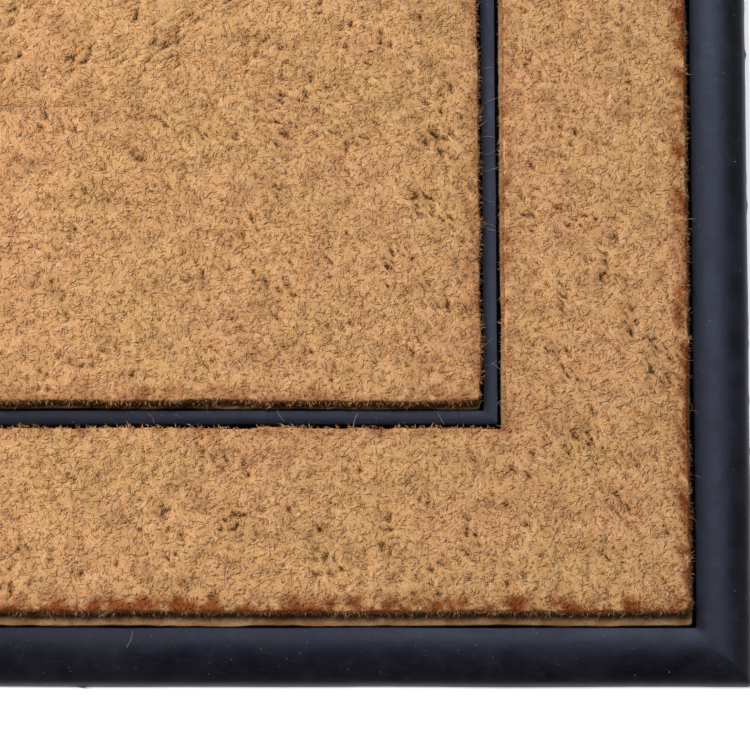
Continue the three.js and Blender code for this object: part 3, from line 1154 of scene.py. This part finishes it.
class DOORMAT_OT_loose_fibres(bpy.types.Operator):
    """Lay shed fibres over the rib, the border and the pile"""

    bl_idname = "doormat.loose_fibres"
    bl_label = "Loose Fibres"

    def execute(self, context):
        rubber, coir = context.scene.doormat_rubber, context.scene.doormat_coir
        plan, dice = Plan(rubber, coir), random.Random(23)
        rubber_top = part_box("rubber_tray")[1].z + 0.2 * MM
        pile_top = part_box("centre_coir_pile")[1].z + 0.5 * MM
        places = []
        for from_side, from_front, right, back in FIBRES_ON_RUBBER:
            start = (plan.mat[0] - from_side * MM, from_front * MM - plan.mat[1], rubber_top)
            places.append((start, (right * MM, back * MM, 0.0)))
        places += scattered(dice, plan, rubber_top, pile_top)
        source = spindle_mesh("loose_fibre", LOOSE_FIBRE)
        unit = np.array([v.co for v in source.vertices])
        faces = [tuple(f.vertices) for f in source.polygons]
        points, all_faces, along = [], [], []
        for start, run in places:
            bow = dice.uniform(-0.16, 0.16) * np.linalg.norm(run)
            offset = len(along)
            points.append(laid(unit, start, run, bow, dice.uniform(0.15, 0.22) * MM))
            all_faces += [tuple(k + offset for k in face) for face in faces]
            along += unit[:, 2].tolist()
        mesh = bpy.data.meshes.new("loose_fibres")
        mesh.from_pydata(np.concatenate(points).tolist(), [], all_faces)
        mesh.polygons.foreach_set("use_smooth", [True] * len(mesh.polygons))
        mesh.materials.append(shed_material(coir))
        store(mesh, "along", "FLOAT", along)
        fibre_cells(mesh, len(source.loops))
        mesh.attributes.remove(mesh.attributes["along"])
        bpy.data.meshes.remove(source)
        ride_and_replace(add_object("loose_fibres", mesh), "coir_pile")
        return {"FINISHED"}


def crumb_tree():
    """Crumbs scattered over what faces up and stands above a height."""
    tree = bpy.data.node_groups.new("Coir crumbs", "GeometryNodeTree")
    given = wired(tree, {
        "Density": ("Float", 1000.0),
        "Size": ("Float", 0.0004),
        "Above": ("Float", 0.005),
        "Seed": ("Int", 0),
        "Material": ("Material", None),
    })
    seed = given["Seed"]
    facing = add(tree, "ShaderNodeSeparateXYZ", {0: add(tree, "GeometryNodeInputNormal")}, "Z")
    height = add(tree, "ShaderNodeSeparateXYZ", {0: add(tree, "GeometryNodeInputPosition")}, "Z")
    above = sums(tree, "GREATER_THAN", height, given["Above"])
    open_to = sums(tree, "MULTIPLY", above, ranged(tree, facing, 0.5, 0.9))
    density = sums(tree, "MULTIPLY", open_to, given["Density"])
    spread = {"Mesh": given["Geometry"], "Density": density, "Seed": seed}
    points = add(tree, "GeometryNodeDistributePointsOnFaces", spread, "Points")
    crumb = add(tree, "GeometryNodeMeshUVSphere", {"Segments": 4, "Rings": 3, "Radius": given["Size"]})
    sides = [random_value(tree, 0.25, 0.8, seed, k) for k in (2, 3, 4)]
    scale = add(tree, "ShaderNodeCombineXYZ", dict(zip("XYZ", sides)))
    turn = add(tree, "ShaderNodeCombineXYZ", {"Z": random_value(tree, 0.0, math.tau, seed, 5)})
    turn = add(tree, "FunctionNodeEulerToRotation", {"Euler": turn})
    placed = {"Points": points, "Instance": crumb, "Rotation": turn, "Scale": scale}
    finished(tree, add(tree, "GeometryNodeInstanceOnPoints", placed), given["Material"])
    return tree


class DOORMAT_OT_crumbs(bpy.types.Operator):
    """Scatter crumbs of coir over the rubber"""

    bl_idname = "doormat.crumbs"
    bl_label = "Crumbs"

    def execute(self, context):
        values = {
            "Density": 1000.0,
            "Size": 0.38 * MM,
            "Above": 6 * MM,
            "Seed": 5,
            "Material": bpy.data.materials["shed_fibre"],
        }
        carrier = bpy.data.objects["tray_moulding"].data
        crumbs = grown("coir_crumbs", carrier, crumb_tree(), values)
        ride_and_replace(crumbs, "coir_pile")
        return {"FINISHED"}


# Stage


def area_light(name, place, target, size, watts, tint, in_gloss=True):
    data = bpy.data.lights.new(name, "AREA")
    data.shape = "RECTANGLE"
    data.size, data.size_y = size
    data.energy = watts
    data.color = tint
    light = bpy.data.objects.new(name, data)
    bpy.context.scene.collection.objects.link(light)
    light.location = place
    light.rotation_euler = (Vector(target) - Vector(place)).to_track_quat("-Z", "Y").to_euler()
    light.visible_glossy = in_gloss


class DOORMAT_OT_stage(bpy.types.Operator):
    """Set the floor, the soft studio lights and the camera"""

    bl_idname = "doormat.stage"
    bl_label = "Stage"

    def execute(self, context):
        stage = context.scene.doormat_stage
        self.floor(stage)
        self.camera(context, stage)
        self.lights(context)
        return {"FINISHED"}

    @staticmethod
    def floor(stage):
        half = 30.0
        corners = [(-half, -half, 0), (half, -half, 0), (half, half, 0), (-half, half, 0)]
        mesh = bpy.data.meshes.new("floor")
        mesh.from_pydata(corners, [], [(0, 1, 2, 3)])
        mesh.materials.append(floor_material(stage))
        add_object("floor", mesh)

    @staticmethod
    def camera(context, stage):
        low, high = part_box("rubber_tray")
        target = Vector((high.x - stage.from_side, low.y + stage.from_front, 0))
        away = Vector((-math.sin(stage.lean), -math.sin(stage.tilt), 0))
        away.z = math.sqrt(1 - away.length_squared)
        right = (Vector((1, 0, 0)) - away * away.x).normalized()
        right = Matrix.Rotation(stage.roll, 3, away) @ right
        up = away.cross(right)
        data = bpy.data.cameras.new("camera")
        data.lens = stage.lens
        data.clip_end = 200
        distance = stage.view_width * stage.lens / data.sensor_width
        camera = bpy.data.objects.new("camera", data)
        context.scene.collection.objects.link(camera)
        turn = Matrix((right, up, away)).transposed().to_4x4()
        camera.matrix_world = Matrix.Translation(target + distance * away) @ turn
        context.scene.camera = camera

    @staticmethod
    def lights(context):
        low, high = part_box("rubber_tray")
        corner = (high.x - 0.19, low.y + 0.17, 0)
        area_light("key", (-1.20, 0.25, 1.80), corner, (0.8, 0.8), 70, (1.0, 0.97, 0.93), in_gloss=False)
        area_light("back_right", (0.72, 1.0, 1.94), corner, (0.8, 1.0), 16, (0.72, 0.82, 1.0))
        world = bpy.data.worlds.new("studio")
        world.use_nodes = True
        tree = world.node_tree
        background = tree.nodes["Background"]
        background.inputs["Color"].default_value = (0.96, 0.97, 1.0, 1)
        up = add(tree, "ShaderNodeTexCoord", output="Generated")
        parts = add(tree, "ShaderNodeSeparateXYZ", {0: up}, "Z").node.outputs
        rising = ranged(tree, parts["Z"], 0.25, 0.80, 0.80, 0.12)
        sideways = ranged(tree, parts["X"], -0.5, 0.9, 1.2, 0.45)
        forward = ranged(tree, parts["Y"], -0.6, 0.5, 0.35, 1.15)
        strength = sums(tree, "MULTIPLY", rising, sums(tree, "MULTIPLY", sideways, forward))
        tree.links.new(strength, background.inputs["Strength"])
        context.scene.world = world
        context.scene.view_settings.view_transform = "Standard"


# Add-on

OPERATORS = (
    DOORMAT_OT_rubber_tray,
    DOORMAT_OT_anti_slip_pips,
    DOORMAT_OT_adhesive,
    DOORMAT_OT_coir_backings,
    DOORMAT_OT_coir_piles,
    DOORMAT_OT_pile_fibres,
    DOORMAT_OT_loose_fibres,
    DOORMAT_OT_crumbs,
    DOORMAT_OT_stage,
)


class DOORMAT_PT_panel(bpy.types.Panel):
    """Lists the mat's pieces in the order in which they are made"""

    bl_idname = "DOORMAT_PT_panel"
    bl_label = "Door Mat"
    bl_space_type = "VIEW_3D"
    bl_region_type = "UI"
    bl_category = "Door Mat"

    def draw(self, context):
        for operator in OPERATORS:
            self.layout.operator(operator.bl_idname)
        for settings in ("doormat_rubber", "doormat_coir", "doormat_stage"):
            group = getattr(context.scene, settings)
            box = self.layout.box()
            for name in group.__annotations__:
                box.prop(group, name)


SETTINGS = {
    "doormat_rubber": RubberSettings,
    "doormat_coir": CoirSettings,
    "doormat_stage": StageSettings,
}


def register():
    for name, group in SETTINGS.items():
        bpy.utils.register_class(group)
        setattr(bpy.types.Scene, name, bpy.props.PointerProperty(type=group))
    for item in (*OPERATORS, DOORMAT_PT_panel):
        bpy.utils.register_class(item)


def unregister():
    for item in (DOORMAT_PT_panel, *reversed(OPERATORS)):
        bpy.utils.unregister_class(item)
    for name, group in SETTINGS.items():
        delattr(bpy.types.Scene, name)
        bpy.utils.unregister_class(group)


def main():
    register()
    for operator in OPERATORS:
        group, name = operator.bl_idname.split(".")
        getattr(getattr(bpy.ops, group), name)()


if __name__ == "__main__":
    main()
